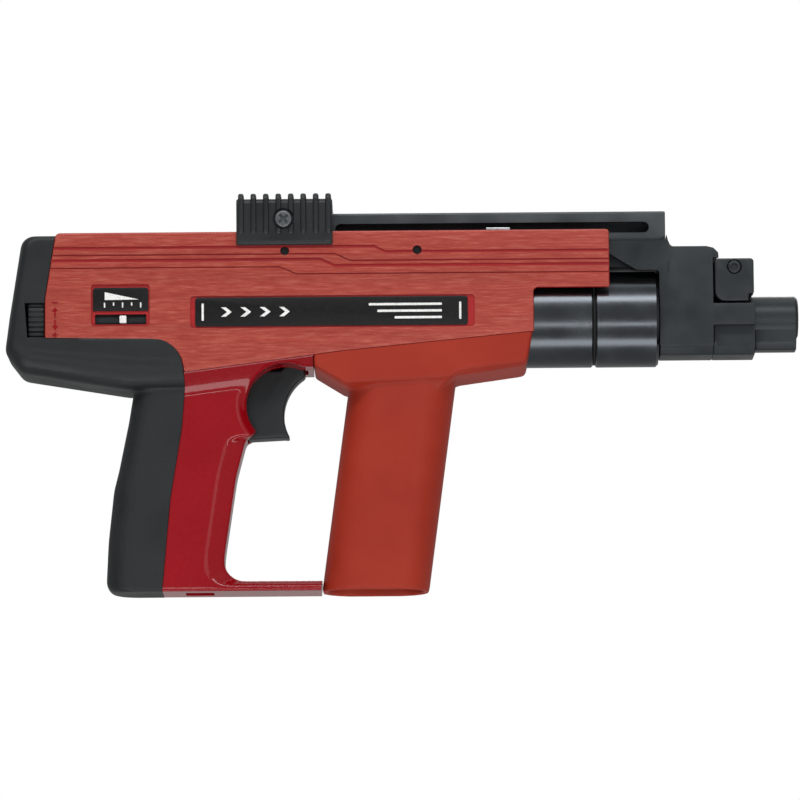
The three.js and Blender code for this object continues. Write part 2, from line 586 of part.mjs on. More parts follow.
function addCasing() {
  add('main_housing', mainHousing(), redPaint);
  add('rear_cover', rearCover(), blackPlastic);
  add('handle_frame', handleFrame(), redGloss);
  add('front_grip', frontGrip(), redGrip);
  add('label_plate', plateIn(LABEL_RECESS, LABEL_PLATE), blackLabel);
  add('scale_plate', plateIn(SCALE_RECESS, SCALE_PLATE), blackLabel);
  add('rail_guide', railGuide(), brightSteel);
  CROSS_PIN.xs.forEach((x, i) => {
    const name = ['rear_cross_pin', 'front_cross_pin'][i];
    const reach = HOUSING.half - 1.2;
    add(name, pin(x, CROSS_PIN.z, CROSS_PIN.radius - 0.15, -reach, reach), blackSteel);
  });
}

function addFiringMechanism() {
  add('strip_guide', stripGuide(), brightSteel);
  add('breech_block', breechBlock(), blackSteel);
  add('striker_tube', strikerTube(), blackSteel);
  add('firing_pin', firingPin(), brightSteel);
  add('firing_spring', coil(-161.7, -140.6, 7.6, 0.9, 6), brightSteel);
  add('trigger', trigger(), blackPlastic);
  add('trigger_pin', pin(TRIGGER.pivotX, TRIGGER.pivotZ, TRIGGER.pin, -12, 12), brightSteel);
  add('trigger_spring', triggerSpring(), brightSteel);
  add('sear', sear(), blackSteel);
  add('sear_pin', pin(SEAR.pivotX, SEAR.pivotZ, SEAR.pin, -18.6, 18.6, 12), brightSteel);
  add('feed_pawl', feedPawl(), brightSteel);
  add('feed_pawl_pin', bar(-101.4, -88.6, PAWL.pin, PAWL.pivotZ, PAWL.y, 12), brightSteel);
}

function addRegulator() {
  add('regulator_wheel', regulatorWheel(), blackPlastic);
  add('regulator_sleeve', regulatorSleeve(), blackSteel);
  add('power_pointer', box(-131.3, -128.1, -24.4, -SLEEVE.outer - GAP, 124.4, 128), whiteMark);
}

function addBarrelGroup() {
  add('pressure_ring', ring(-62.5, BARREL.rear - GAP, CHAMBER.radius + PLAY, 14.6), blackSteel);
  add('pressure_spring', coil(-88, -62.8, 11.8, 1.3, 5), brightSteel);
  add('barrel_tube', barrelTube(), blackSteel);
  add('rear_collar', collar(COLLAR.rear, COLLAR.groove, 0.4), blackSteel);
  add('collar_seal', ring(COLLAR.groove + 0.2, COLLAR.groove + 1, BARREL.radius + GAP, COLLAR_RADIUS - 1, 40),
    rubber);
  add('front_collar', collar(COLLAR.groove + 1.2, COLLAR.front, 1.2), blackSteel);
  add('buffer', ring(99, 118.9, 4.6, BARREL.bore - 0.3), rubber);
  add('piston', piston(), brightSteel);
  add('piston_ring', ring(-45.8, -43.2, 9.7, BARREL.bore - 0.15), brightSteel);
  add('slide_rail', slideRail(), blackSteel);
  add('cocking_knob', cockingKnob(), blackPlastic);
  add('knob_screw_right', knobScrew(-1), blackSteel);
  add('knob_screw_left', knobScrew(1), blackSteel);
  add('nose_bracket', noseBracket(), blackSteel);
  add('nose_block', noseBlock(), blackSteel);
  add('fastener_guide', fastenerGuide(), blackSteel);
  add('guide_latch', latch(), blackSteel);
  const pinReach = LATCH.half + 0.2;
  add('latch_pin', pin(LATCH_PIN.x, LATCH_PIN.z, LATCH_PIN.radius, -pinReach, pinReach, 20), blackSteel);
}

addCasing();
addFiringMechanism();
addRegulator();
addBarrelGroup();

export default tool;
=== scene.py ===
import json
import math

import bmesh
import bpy
from mathutils import Matrix, Vector


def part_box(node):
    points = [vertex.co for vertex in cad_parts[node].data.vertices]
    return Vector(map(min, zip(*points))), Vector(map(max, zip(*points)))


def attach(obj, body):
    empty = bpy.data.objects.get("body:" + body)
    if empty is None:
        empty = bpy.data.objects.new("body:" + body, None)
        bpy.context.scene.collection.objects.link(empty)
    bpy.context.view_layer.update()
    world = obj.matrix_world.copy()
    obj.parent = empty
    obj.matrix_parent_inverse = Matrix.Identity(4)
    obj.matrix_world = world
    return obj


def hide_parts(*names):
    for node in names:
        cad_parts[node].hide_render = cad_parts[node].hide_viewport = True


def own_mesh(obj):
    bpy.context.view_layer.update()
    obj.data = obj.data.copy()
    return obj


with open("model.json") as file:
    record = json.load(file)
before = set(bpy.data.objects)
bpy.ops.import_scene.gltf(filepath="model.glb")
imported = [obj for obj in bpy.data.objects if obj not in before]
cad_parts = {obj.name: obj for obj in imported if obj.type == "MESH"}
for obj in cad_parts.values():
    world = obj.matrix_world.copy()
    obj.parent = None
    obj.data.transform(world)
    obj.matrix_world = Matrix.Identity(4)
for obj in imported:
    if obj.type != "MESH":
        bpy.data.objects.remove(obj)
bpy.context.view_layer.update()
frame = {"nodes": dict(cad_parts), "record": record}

# A powder-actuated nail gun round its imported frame. Outlines are in millimetres in the
# frame's own axes (+X to the muzzle, +Y to the left, +Z up) and become metres in finish_piece.

MM = 0.001
CURVE_STEPS = 6


def span(node):
    """A CAD node's lowest and highest corner, in millimetres."""
    low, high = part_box(node)
    return Vector(low) / MM, Vector(high) / MM


HOUSING_LOW, HOUSING_HIGH = span("main_housing")
COVER_LOW, _ = span("rear_cover")
KNOB_LOW, KNOB_HIGH = span("cocking_knob")
RAIL_LOW, RAIL_HIGH = span("slide_rail")
BRACKET_LOW, BRACKET_HIGH = span("nose_bracket")
BLOCK_LOW, BLOCK_HIGH = span("nose_block")
LATCH_LOW, LATCH_HIGH = span("guide_latch")
GUIDE_LOW, GUIDE_HIGH = span("fastener_guide")
BARREL_LOW, BARREL_HIGH = span("barrel_tube")
AXIS_Z = (BARREL_LOW.z + BARREL_HIGH.z) / 2
HALF = HOUSING_HIGH.y                    # half the housing's width
GAP = 0.15                               # between the housing and what meets it
STEP_X = 61.2                            # where the housing's lower front edge is
HOOD_Z = 139.8                           # underside of the housing's hood
PARTING = [(-101.4, 101.2), (-30, 110.4), (STEP_X, 119.2)]
GRIP_LEAN = 0.136                        # the front grip's forward lean per unit of height
GRIP_MIDDLE = -13.3                      # the front grip's middle on the ground
OUTSIDE = 30                             # farther out than either side of the tool
COLLAR_ROOM = 22.9                       # radius of the room that the collars slide in
CROSS_PIN_XS = (-54.4, 7.2)
CROSS_PIN_Z = 157.7
TRIGGER_PIN = (-49, 108.2)
LATCH_PIN = (155, 149.7)
PLATES_END = 145                         # where the nose block ends and its chin begins
GUIDE_BORE = 10.5                        # radius of the nose's bore for the fastener guide


# ---- Camera, light and floor ----

VIEW_ELEVATION = -7.3
VIEW_DISTANCE = 3.0
VIEW_WIDTH = 0.374
VIEW_CENTRE = Vector((-0.0013, 0, 0.0905))
VIEW_ROLL = -0.45


def make_camera():
    data = bpy.data.cameras.new("camera")
    data.lens = data.sensor_width * VIEW_DISTANCE / VIEW_WIDTH
    camera = bpy.data.objects.new("camera", data)
    bpy.context.scene.collection.objects.link(camera)
    bpy.context.scene.camera = camera
    elevation = math.radians(VIEW_ELEVATION)
    back = Vector((0, -math.cos(elevation), math.sin(elevation)))
    camera.location = VIEW_CENTRE + back * VIEW_DISTANCE
    aim = (-back).to_track_quat("-Z", "Y").to_matrix().to_4x4()
    roll = Matrix.Rotation(math.radians(VIEW_ROLL), 4, "Z")
    camera.rotation_euler = (aim @ roll).to_euler()


def area_light(name, location, target, size, watts):
    data = bpy.data.lights.new(name, "AREA")
    data.shape = "RECTANGLE"
    data.size, data.size_y = size
    data.energy = watts
    light = bpy.data.objects.new(name, data)
    light.location = location
    light.rotation_euler = (Vector(target) - Vector(location)).to_track_quat("-Z", "Y").to_euler()
    light.visible_camera = False
    bpy.context.scene.collection.objects.link(light)


def make_lights():
    target = (0, 0, 0.11)
    area_light("key", (-0.2, -1.1, 1.25), target, (2.2, 0.32), 17.5)
    area_light("fill", (0.9, -1.6, 0.35), target, (0.9, 0.9), 2)
    area_light("strip", (0, -1.1, -0.24), target, (2.0, 0.1), 4)
    area_light("under", (0, -0.45, -0.8), target, (1.8, 0.3), 6)
    area_light("top", (0, 0.2, 1.5), target, (1.6, 1.0), 5)
    area_light("back", (0.4, 1.5, 0.9), target, (1.2, 0.9), 8)


def make_world():
    """White where the camera sees it, softer as a source of light."""
    world = bpy.data.worlds.new("studio")
    world.use_nodes = True
    bpy.context.scene.world = world
    tree = world.node_tree
    background = tree.nodes["Background"]
    background.inputs["Color"].default_value = (1, 1, 1, 1)
    background.inputs["Strength"].default_value = 0.34
    seen = tree.nodes.new("ShaderNodeBackground")
    seen.inputs["Color"].default_value = (1, 1, 1, 1)
    path = tree.nodes.new("ShaderNodeLightPath")
    mix = tree.nodes.new("ShaderNodeMixShader")
    tree.links.new(path.outputs["Is Camera Ray"], mix.inputs[0])
    tree.links.new(background.outputs[0], mix.inputs[1])
    tree.links.new(seen.outputs[0], mix.inputs[2])
    tree.links.new(mix.outputs[0], tree.nodes["World Output"].inputs["Surface"])


def make_floor():
    """A pale floor, seen from above only: the camera looks up at the tool, and two lamps stand below."""
    bpy.ops.mesh.primitive_plane_add(size=8, location=(0, 0, -0.0005))
    floor = bpy.context.object
    floor.name = "floor"
    material = bpy.data.materials.new("floor")
    material.use_nodes = True
    tree = material.node_tree
    surface = tree.nodes["Principled BSDF"]
    surface.inputs["Base Color"].default_value = (0.6, 0.6, 0.6, 1)
    surface.inputs["Roughness"].default_value = 0.7
    geometry = tree.nodes.new("ShaderNodeNewGeometry")
    clear = tree.nodes.new("ShaderNodeBsdfTransparent")
    mix = tree.nodes.new("ShaderNodeMixShader")
    tree.links.new(geometry.outputs["Backfacing"], mix.inputs[0])
    tree.links.new(surface.outputs[0], mix.inputs[1])
    tree.links.new(clear.outputs[0], mix.inputs[2])
    tree.links.new(mix.outputs[0], tree.nodes["Material Output"].inputs["Surface"])
    floor.data.materials.append(material)
    floor.visible_shadow = False
    floor.visible_diffuse = False
    floor.visible_glossy = False


# ---- Mesh tools, in millimetres ----

def rounded(corners, steps=CURVE_STEPS):
    """An outline of (x, y, radius) corners, with each corner that has a radius turned into an arc."""
    points = []
    for i, corner in enumerate(corners):
        here = Vector(corner[:2])
        radius = corner[2] if len(corner) > 2 else 0
        if not radius:
            points.append(here)
            continue
        to_before = (Vector(corners[i - 1][:2]) - here).normalized()
        to_after = (Vector(corners[(i + 1) % len(corners)][:2]) - here).normalized()
        half_angle = to_before.angle(to_after) / 2
        centre = here + (to_before + to_after).normalized() * (radius / math.sin(half_angle))
        start = here + to_before * (radius / math.tan(half_angle)) - centre
        end = here + to_after * (radius / math.tan(half_angle)) - centre
        sweep = -start.angle_signed(end)
        for k in range(steps + 1):
            points.append(centre + Matrix.Rotation(sweep * k / steps, 2) @ start)
    return points


def rounded_box(x0, y0, x1, y1, radius, steps=CURVE_STEPS):
    return rounded([(x0, y0, radius), (x1, y0, radius), (x1, y1, radius), (x0, y1, radius)], steps)


def arc(x, y, radius, start, end, steps=16):
    """Points on a circle between two angles in degrees."""
    angles = [math.radians(start + (end - start) * k / steps) for k in range(steps + 1)]
    return [Vector((x + radius * math.cos(a), y + radius * math.sin(a))) for a in angles]


PLACES = {
    "x": lambda u, v, t: (t, u, v),
    "y": lambda u, v, t: (u, t, v),
    "z": lambda u, v, t: (u, v, t),
}


def new_object(bm):
    bmesh.ops.recalc_face_normals(bm, faces=bm.faces)
    mesh = bpy.data.meshes.new("work")
    bm.to_mesh(mesh)
    bm.free()
    made = bpy.data.objects.new("work", mesh)
    bpy.context.scene.collection.objects.link(made)
    return made


def prism(outline, axis, low, high):
    """An outline in the two other axes, stretched along one axis."""
    bm = bmesh.new()
    place = PLACES[axis]
    rings = [[bm.verts.new(place(p[0], p[1], t)) for p in outline] for t in (low, high)]
    bm.faces.new(rings[0])
    bm.faces.new(reversed(rings[1]))
    for i in range(len(outline)):
        j = (i + 1) % len(outline)
        bm.faces.new((rings[0][i], rings[0][j], rings[1][j], rings[1][i]))
    return new_object(bm)


def block(x0, x1, y0, y1, z0, z1):
    return prism([(x0, z0), (x1, z0), (x1, z1), (x0, z1)], "y", y0, y1)


def both_sides(inner, outer, make):
    """Two pieces made by make(low, high), at the same distance to the right and to the left."""
    return [make(-outer, -inner), make(inner, outer)]


def lathe(profile, segments=64):
    """A closed (x, radius) profile turned round the barrel's axis."""
    bm = bmesh.new()
    rings = []
    for k in range(segments):
        a = 2 * math.pi * k / segments
        rings.append([bm.verts.new((x, r * math.cos(a), AXIS_Z + r * math.sin(a))) for x, r in profile])
    for k in range(segments):
        ring, after = rings[k], rings[(k + 1) % segments]
        for i in range(len(profile)):
            j = (i + 1) % len(profile)
            bm.faces.new((ring[i], ring[j], after[j], after[i]))
    bmesh.ops.remove_doubles(bm, verts=bm.verts, dist=1e-4)
    bmesh.ops.dissolve_degenerate(bm, edges=bm.edges, dist=1e-4)
    return new_object(bm)


def rod(axis, centre, radius, low, high, segments=32):
    """A round bar along one axis, through a centre in the two other axes."""
    return prism(arc(*centre, radius, 0, 360 - 360 / segments, segments - 1), axis, low, high)


def bake(obj):
    """Applies an object's modifiers to its mesh."""
    depsgraph = bpy.context.evaluated_depsgraph_get()
    mesh = bpy.data.meshes.new_from_object(obj.evaluated_get(depsgraph))
    obj.modifiers.clear()
    obj.data = mesh
    return obj


def boolean(obj, others, operation):
    for other in others:
        modifier = obj.modifiers.new("boolean", "BOOLEAN")
        modifier.operation = operation
        modifier.solver = "EXACT"
        modifier.object = other
        bake(obj)
        bpy.data.objects.remove(other)
    return obj


def cut(obj, *others):
    return boolean(obj, others, "DIFFERENCE")


def join(obj, *others):
    return boolean(obj, others, "UNION")


def merge(objects):
    """Loose closed shells in one object, to be remeshed together or kept as they are."""
    bm = bmesh.new()
    for obj in objects:
        bm.from_mesh(obj.data)
        bpy.data.objects.remove(obj)
    return new_object(bm)


def bevel(obj, width, segments=3, angle=35):
    modifier = obj.modifiers.new("bevel", "BEVEL")
    modifier.width = width
    modifier.segments = segments
    modifier.limit_method = "ANGLE"
    modifier.angle_limit = math.radians(angle)
    modifier.use_clamp_overlap = True
    return bake(obj)


def blend_shape(obj, voxel, rounds, factor=0.5):
    """Remeshes an object into small even faces and smooths it, so joined shapes flow together."""
    remesh = obj.modifiers.new("remesh", "REMESH")
    remesh.mode = "VOXEL"
    remesh.voxel_size = voxel
    smooth = obj.modifiers.new("smooth", "SMOOTH")
    smooth.factor = factor
    smooth.iterations = rounds
    return bake(obj)


def stack(side, sizes):
    """One outline at several widths: each size is how far side() draws it in, and its half width."""
    return merge([prism(side(inset), "y", -half, half) for inset, half in sizes])


def round_sizes(half, radius, steps=8):
    """The sizes of a stack whose edges are rounded by radius."""
    turns = [math.pi / 2 * k / steps for k in range(steps + 1)]
    return [(radius * (1 - math.cos(a)), half - radius * (1 - math.sin(a))) for a in turns]


def slope_sizes(half, inset, depth, steps=6):
    """The sizes of a stack whose edges slope off by depth over inset."""
    return [(inset * k / steps, half - depth * (1 - k / steps)) for k in range(steps + 1)]


def finish_piece(obj, name, body, replaced, material, smooth_angle=35):
    """Turns a mesh into metres, gives it its name, body and material, and hides the CAD nodes it replaces.
    """
    obj.name = name
    obj.data.name = name
    obj.data.transform(Matrix.Scale(MM, 4))
    obj.data.shade_smooth()
    obj.data.set_sharp_from_angle(angle=math.radians(smooth_angle))
    obj.data.materials.clear()
    obj.data.materials.append(material)
    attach(obj, body)
    if replaced:
        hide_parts(*replaced)


# ---- Materials ----

class Look:
    """A Principled material whose colour, roughness and bump come from procedural noise."""

    def __init__(self, name, metallic=0.0, coat=0.0, coat_roughness=0.1, specular=0.5):
        self.material = bpy.data.materials.new(name)
        self.material.use_nodes = True
        self.tree = self.material.node_tree
        self.surface = self.tree.nodes["Principled BSDF"]
        self.set("Metallic", metallic)
        self.set("Coat Weight", coat)
        self.set("Coat Roughness", coat_roughness)
        self.set("Specular IOR Level", specular)
        self.coordinates = self.node("ShaderNodeTexCoord").outputs["Object"]

    def node(self, kind):
        return self.tree.nodes.new(kind)

    def link(self, source, target):
        self.tree.links.new(source, target)

    def set(self, socket, value):
        self.surface.inputs[socket].default_value = value

    def noise(self, scale, detail=3.0, roughness=0.5, stretch=(1, 1, 1)):
        mapping = self.node("ShaderNodeMapping")
        mapping.inputs["Scale"].default_value = stretch
        self.link(self.coordinates, mapping.inputs["Vector"])
        texture = self.node("ShaderNodeTexNoise")
        texture.inputs["Scale"].default_value = scale
        texture.inputs["Detail"].default_value = detail
        texture.inputs["Roughness"].default_value = roughness
        self.link(mapping.outputs["Vector"], texture.inputs["Vector"])
        return texture.outputs["Fac"]

    def ramp(self, source, stops):
        ramp = self.node("ShaderNodeValToRGB")
        elements = ramp.color_ramp.elements
        while len(elements) < len(stops):
            elements.new(0.5)
        for element, (position, colour) in zip(elements, stops):
            element.position = position
            element.color = (*colour, 1)
        self.link(source, ramp.inputs["Fac"])
        return ramp.outputs["Color"]

    def grey(self, source, low, high, start=0.3, end=0.7):
        return self.ramp(source, [(start, (low,) * 3), (end, (high,) * 3)])

    def mix(self, factor, first, second, blend="MIX"):
        mix = self.node("ShaderNodeMix")
        mix.data_type = "RGBA"
        mix.blend_type = blend
        if isinstance(factor, (int, float)):
            mix.inputs["Factor"].default_value = factor
        else:
            self.link(factor, mix.inputs["Factor"])
        self.link(first, mix.inputs["A"])
        self.link(second, mix.inputs["B"])
        return mix.outputs["Result"]

    def distance_from_middle(self):
        """How far out a point is from the tool's middle plane: 1 is the housing's side."""
        split = self.node("ShaderNodeSeparateXYZ")
        self.link(self.coordinates, split.inputs[0])
        scaled = self.node("ShaderNodeMath")
        scaled.operation = "MULTIPLY"
        scaled.inputs[1].default_value = 1 / (HALF * MM)
        self.link(split.outputs["Y"], scaled.inputs[0])
        positive = self.node("ShaderNodeMath")
        positive.operation = "ABSOLUTE"
        self.link(scaled.outputs[0], positive.inputs[0])
        return positive.outputs[0]

    def colour(self, source):
        self.link(source, self.surface.inputs["Base Color"])

    def roughness(self, source):
        self.link(source, self.surface.inputs["Roughness"])

    def bump(self, source, strength, distance):
        bump = self.node("ShaderNodeBump")
        bump.inputs["Strength"].default_value = strength
        bump.inputs["Distance"].default_value = distance
        self.link(source, bump.inputs["Height"])
        if self.surface.inputs["Normal"].is_linked:
            self.link(self.surface.inputs["Normal"].links[0].from_socket, bump.inputs["Normal"])
        self.link(bump.outputs["Normal"], self.surface.inputs["Normal"])


def srgb(red, green, blue):
    """A colour given as 0 to 255 sRGB, in linear numbers."""
    def linear(value):
        value /= 255
        return value / 12.92 if value <= 0.04045 else ((value + 0.055) / 1.055) ** 2.4
    return tuple(linear(v) for v in (red, green, blue))


def housing_red():
    """Red enamel: brushed red streaks on the two sides with a painted sheen in their palest streaks, and
    crimson painted shade on every other face, the grooves and turned edges among them.
    """
    look = Look("housing_red", metallic=0.2, coat=0.2, coat_roughness=0.22)
    streaks = look.noise(1, detail=6, roughness=0.7, stretch=(110, 1300, 1300))
    bands = look.noise(1, detail=3, stretch=(9, 260, 260))
    # Brushed red streaks; the palest stop of this ramp is a painted sheen.
    brushed_grain_and_sheen = look.ramp(streaks, [
        (0.3, srgb(148, 40, 30)), (0.52, srgb(168, 62, 48)), (0.75, srgb(188, 98, 82)),
    ])
    brushed_grain_and_sheen = look.mix(1.0, brushed_grain_and_sheen, look.grey(bands, 0.86, 1.0), "MULTIPLY")
    # Painted shade: crimson on every face off the two sides (where the mask below is 0), in the grooves and
    # on the turned edges.
    crimson_painted_shade = look.ramp(bands, [(0.3, srgb(148, 8, 16)), (0.7, srgb(168, 16, 22))])
    side = look.ramp(look.distance_from_middle(), [(0.98, (0, 0, 0)), (0.992, (1, 1, 1))])
    look.colour(look.mix(side, crimson_painted_shade, brushed_grain_and_sheen))
    look.roughness(look.grey(streaks, 0.34, 0.5))
    look.bump(streaks, 0.16, 0.0002)
    return look.material


def frame_crimson():
    """Deep gloss crimson enamel with a slight orange peel."""
    look = Look("frame_crimson", coat=0.6, coat_roughness=0.04, specular=0.1)
    peel = look.noise(420, detail=2)
    clouds = look.noise(22, detail=3)
    look.colour(look.ramp(clouds, [(0.3, srgb(130, 2, 12)), (0.7, srgb(145, 3, 20))]))
    look.roughness(look.grey(peel, 0.2, 0.32))
    look.bump(peel, 0.06, 0.0002)
    return look.material


def grip_red():
    """Satin orange-red moulded plastic with a fine spark-eroded grain."""
    look = Look("grip_red", specular=0.22)
    grain = look.noise(2600, detail=3)
    clouds = look.noise(30, detail=4)
    look.colour(look.ramp(clouds, [(0.3, srgb(145, 38, 22)), (0.7, srgb(156, 47, 30))]))
    look.roughness(look.grey(grain, 0.42, 0.6))
    look.bump(grain, 0.25, 0.0001)
    return look.material


def black_plastic(name="black_plastic", tone=(26, 30, 32), rough=(0.4, 0.56)):
    """Black moulded plastic with a fine grain and faint cloudy wear."""
    look = Look(name, specular=0.35)
    grain = look.noise(2400, detail=4)
    clouds = look.noise(40, detail=4)
    dark = srgb(*(t - 6 for t in tone))
    look.colour(look.ramp(clouds, [(0.3, dark), (0.7, srgb(*tone))]))
    look.roughness(look.grey(clouds, *rough))
    look.bump(grain, 0.3, 0.0001)
    return look.material


def black_steel(name="black_steel", tone=(58, 62, 64), rough=(0.34, 0.5), stretch=(1, 1, 1), metallic=0.75):
    """Black-oxide steel, slightly blue, with machining lines and rubbed patches."""
    look = Look(name, metallic=metallic, specular=0.5)
    lines = look.noise(1, detail=5, roughness=0.6, stretch=tuple(700 * s for s in stretch))
    clouds = look.noise(60, detail=4)
    tone_low = srgb(*(t - 10 for t in tone))
    look.colour(look.ramp(clouds, [(0.3, tone_low), (0.75, srgb(*tone))]))
    look.roughness(look.grey(clouds, *rough))
    look.bump(lines, 0.12, 0.0001)
    return look.material


def bright_steel():
    look = Look("bright_steel", metallic=1.0)
    lines = look.noise(1, detail=5, stretch=(2200, 120, 2200))
    look.colour(look.ramp(lines, [(0.3, srgb(150, 152, 155)), (0.7, srgb(190, 192, 195))]))
    look.roughness(look.grey(lines, 0.28, 0.45))
    look.bump(lines, 0.15, 0.0001)
    return look.material


def label_black():
    """Black printed film, a little dusty."""
    look = Look("label_black", specular=0.25)
    specks = look.noise(900, detail=5, roughness=0.7)
    look.colour(look.ramp(specks, [(0.55, srgb(12, 12, 13)), (0.78, srgb(34, 34, 36))]))
    look.roughness(look.grey(specks, 0.35, 0.5))
    look.bump(specks, 0.05, 0.0001)
    return look.material


def white_print():
    look = Look("white_print")
    specks = look.noise(1500, detail=4)
    look.colour(look.ramp(specks, [(0.3, srgb(205, 205, 203)), (0.6, srgb(236, 236, 234))]))
    look.roughness(look.grey(specks, 0.4, 0.6))
    look.bump(specks, 0.05, 0.0001)
    return look.material


def black_rubber():
    look = Look("black_rubber", specular=0.3)
    grain = look.noise(1800, detail=4)
    look.colour(look.ramp(grain, [(0.3, srgb(20, 20, 20)), (0.7, srgb(34, 34, 34))]))
    look.roughness(look.grey(grain, 0.65, 0.85))
    look.bump(grain, 0.3, 0.0001)
    return look.material


# ---- Casing ----

def housing_outline():
    return rounded([
        (HOUSING_LOW.x, 117.6), (HOUSING_LOW.x, 136, 18), (-160.9, HOUSING_HIGH.z, 2.5),
        (HOUSING_HIGH.x, HOUSING_HIGH.z, 1.6), (HOUSING_HIGH.x, HOOD_Z, 0.8), (STEP_X, HOOD_Z, 2),
        *reversed(PARTING), (-103.2, 116.5, 14.5),
    ])


def jogged_groove(z, drop, jog_start, jog_end, width, x0, x1):
    """A line along the housing that steps down once on its way forwards."""
    centre = [(x0, z), (jog_start, z), (jog_end, z - drop), (x1, z - drop)]
    upper = [(x, h + width / 2) for x, h in centre]
    lower = [(x, h - width / 2) for x, h in reversed(centre)]
    return upper + lower


GROOVES = [
    # height, drop, start and end of the step, width
    (159.6, 2.6, -13.0, -7.6, 1.3),
    (156.2, 3.3, -31.2, -23.8, 0.7),
    (153.7, 3.1, -37.8, -31.4, 1.4),
    (150.2, 3.4, -57.0, -49.0, 0.6),
]
GROOVE_DEPTH = 0.6


def housing_cutters():
    wall, ceiling = 2.8, HOUSING_HIGH.z - 3.4
    inside = HALF - wall
    cutters = [
        block(-180, HOUSING_HIGH.x + 10, -inside, inside, 80, ceiling),
        rod("x", (0, AXIS_Z), COLLAR_ROOM, 38, STEP_X + 5, 64),
        block(-88.3, HOUSING_HIGH.x + 10, -RAIL_HIGH.y - 1.4, RAIL_HIGH.y + 1.4, 150, 180),
        block(-100, -90, -5, 5, 150, 180),
    ]
    surface = [
        prism(rounded_box(-98.4, 121.6, 33.7, 136.7, 1.6), "y", -30, 0.7 - HALF),
        prism(rounded_box(-144.5, 122.9, -117.2, 142.6, 1.5), "y", -30, 0.9 - HALF),
    ]
    for x in CROSS_PIN_XS:
        surface.append(rod("y", (x, CROSS_PIN_Z), 2.1, -OUTSIDE, OUTSIDE, 24))
    for groove in GROOVES:
        line = jogged_groove(*groove, HOUSING_LOW.x - 5, HOUSING_HIGH.x + 5)
        surface += both_sides(HALF - GROOVE_DEPTH, 30, lambda low, high: prism(line, "y", low, high))
    return cutters, surface


def make_housing(material):
    body = prism(housing_outline(), "y", -HALF, HALF)
    bevel(body, 1.3, 4, 50)
    cutters, surface = housing_cutters()
    cut(body, *cutters)
    cut(body, *surface)
    cut(body, prism(rounded_box(-142.7, 123.8, -118.8, 128.6, 0.6), "y", -30, -15))
    finish_piece(body, "housing_shell", "housing", ["main_housing"], material)


def cover_front_region():
    """What the rear cover ends against: the housing's rear edge and the handle frame's."""
    return rounded([
        (-112.75, -5), (-108.4, 42.9, 60), (-102.9, 76.2, 40), (-101.3, 95.9, 12), (-103.2, 117.2, 14.5),
        (HOUSING_LOW.x - GAP, 117.4, 0.3), (HOUSING_LOW.x - GAP, 136, 18),
        (-160.2, 172), (60, 172), (60, -5),
    ])


def cover_side(inset):
    """The rear cover's body, drawn in most along its belly and least along its top."""
    i = inset
    top = HOUSING_HIGH.z - 0.4
    return rounded([
        (-92, 118), (-92, 95 + 1.25 * i), (-128, 94.2 + 1.5 * i, 8), (-177.5 + 0.3 * i, 102.3 + 1.1 * i, 6),
        (COVER_LOW.x + 0.5 * i, 112 + 0.5 * i, 5), (-182.9 + 0.45 * i, 128, 30),
        (-176.9 + 0.4 * i, top - 0.2 * i, 6), (-150, top - 0.2 * i), (-150, 118),
    ])


def cover_grip_side(inset):
    """The grip's overmould, drawn in along its back only."""
    backs = [
        (-138.6, 0, 5), (-137.4, 24, 60), (-134.8, 48, 30), (-132.5, 57, 30), (-127.8, 80, 30), (-125.2, 96),
    ]
    shifted = [(x + inset, *rest) for x, *rest in backs]
    return rounded([(-90, 0), *shifted, (-125 + inset, 104), (-90, 104)])


def make_rear_cover(material):
    belly = [size for size in round_sizes(HALF - 0.1, 9.5, 10) if not 7 < size[0] < 9.4]
    upper = stack(cover_side, belly)
    grip = stack(cover_grip_side, round_sizes(16.5, 10))
    cover = merge([upper, grip])
    blend_shape(cover, 0.85, 9)
    cut(cover, prism(cover_front_region(), "y", -40, 40))
    wheel_low, wheel_high = span("regulator_wheel")
    cut(cover, rod("x", (0, AXIS_Z), wheel_high.y + 0.6, wheel_low.x - 0.8, HOUSING_LOW.x + 2, 96))
    cut(cover, rod("x", (0, AXIS_Z), 20.5, -170, -150, 64))
    cut(cover, prism([(-163, 130), (-163, 102.8), (-146, 99.4), (-90, 99.4), (-90, 130)], "y", -19, 19))
    cut(cover, prism([(-175.4, 134.2), (-174.2, 118), (-160, 118), (-160, 134.2)], "y", -30, 30))
    finish_piece(cover, "cover_and_grip", "housing", ["rear_cover"], material, 45)


def parting_z(x):
    (x0, z0), (x1, z1), (x2, z2) = PARTING
    if x < x1:
        return z0 + (x - x0) * (z1 - z0) / (x1 - x0)
    return z1 + (x - x1) * (z2 - z1) / (x2 - x1)


def above_parting():
    """Everything over the line where the housing's sides end."""
    return prism([
        (-130, parting_z(-130) - GAP), (PARTING[1][0], PARTING[1][1] - GAP),
        (STEP_X + 10, parting_z(STEP_X + 10) - GAP), (STEP_X + 10, 190), (-130, 190),
    ], "y", -40, 40)


FRAME_END = -41.5                        # where the handle frame meets the front grip's saddle


def frame_side(inset):
    """The handle frame's outline, with its front edge drawn in by inset."""
    i = inset
    return rounded([
        (-118, 0), (-36, 0), (-36, 5 - i * 0.3), (-84.2 - i, 5.2 - i * 0.3, 9), (-83.1 - i, 18, 30),
        (-77.7 - i, 53.8, 60), (-73.3 - i, 70.5, 4),
        *[tuple(p) for p in arc(-54.5, 87, 18.3 + i * 0.45, 222, 66, 14)],
        (FRAME_END + 2, 103.6 + i * 0.35), (FRAME_END + 2, 112), (-106, 106), (-106, 70),
    ])


def parting_slope(x0, x1):
    return (parting_z(x1) - parting_z(x0)) / (x1 - x0)


